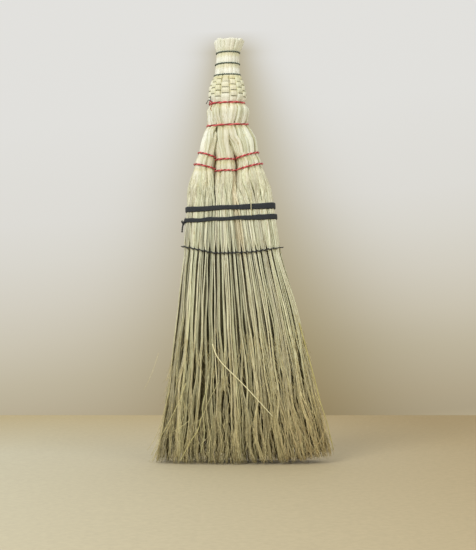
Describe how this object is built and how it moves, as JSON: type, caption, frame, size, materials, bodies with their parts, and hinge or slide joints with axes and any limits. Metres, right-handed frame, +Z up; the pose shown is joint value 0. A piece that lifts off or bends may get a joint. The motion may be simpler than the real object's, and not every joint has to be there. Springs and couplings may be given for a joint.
{
  "type": "broomcorn hand broom",
  "caption": "Short hand-tied broomcorn broom: a bound and woven stalk handle that parts into three tied bundles, taped and stitched flat into one wide trimmed sweep.",
  "frame": {"origin": "bottom of the trimmed tips, at the middle of the sweep's width and depth", "axes": "+Z up along the broom to the cut stalk ends, +X across the flat sweep, -Y out of the front"},
  "size_m": [0.2258, 0.056, 0.54],
  "materials": {
    "stalk": "satin",
    "fibre": "matte",
    "green_cord": "satin",
    "weave_string": "matte",
    "red_string": "satin",
    "tape": "matte",
    "thread": "satin"
  },
  "bodies": {
    "root": {"left_stalk_1": "stalk", "left_stalk_2": "stalk", "left_stalk_3": "stalk", "left_stalk_4": "stalk", "left_stalk_5": "stalk", "left_stalk_6": "stalk", "left_stalk_7": "stalk", "left_stalk_8": "stalk", "centre_stalk_1": "stalk", "centre_stalk_2": "stalk", "centre_stalk_3": "stalk", "centre_stalk_4": "stalk", "centre_stalk_5": "stalk", "centre_stalk_6": "stalk", "centre_stalk_7": "stalk", "centre_stalk_8": "stalk", "centre_stalk_9": "stalk", "right_stalk_1": "stalk", "right_stalk_2": "stalk", "right_stalk_3": "stalk", "right_stalk_4": "stalk", "right_stalk_5": "stalk", "right_stalk_6": "stalk", "right_stalk_7": "stalk", "right_stalk_8": "stalk", "right_stalk_9": "stalk", "right_stalk_10": "stalk", "right_stalk_11": "stalk", "right_stalk_12": "stalk", "left_inner_stalk_1": "stalk", "left_inner_stalk_2": "stalk", "left_inner_stalk_3": "stalk", "left_inner_stalk_4": "stalk", "centre_inner_stalk_1": "stalk", "centre_inner_stalk_2": "stalk", "centre_inner_stalk_3": "stalk", "centre_inner_stalk_4": "stalk", "right_inner_stalk_1": "stalk", "right_inner_stalk_2": "stalk", "right_inner_stalk_3": "stalk", "right_inner_stalk_4": "stalk", "right_inner_stalk_5": "stalk", "right_inner_stalk_6": "stalk", "left_brush": "fibre", "centre_brush": "fibre", "right_brush": "fibre", "top_neck_cord": "green_cord", "middle_neck_cord": "green_cord", "lower_neck_cord": "green_cord", "weave_string": "weave_string", "neck_tie": "red_string", "shoulder_tie": "red_string", "upper_bundle_tie": "red_string", "lower_bundle_tie": "red_string", "upper_band": "tape", "lower_band": "tape", "stitch_thread": "thread"}
  },
  "joints": []
}
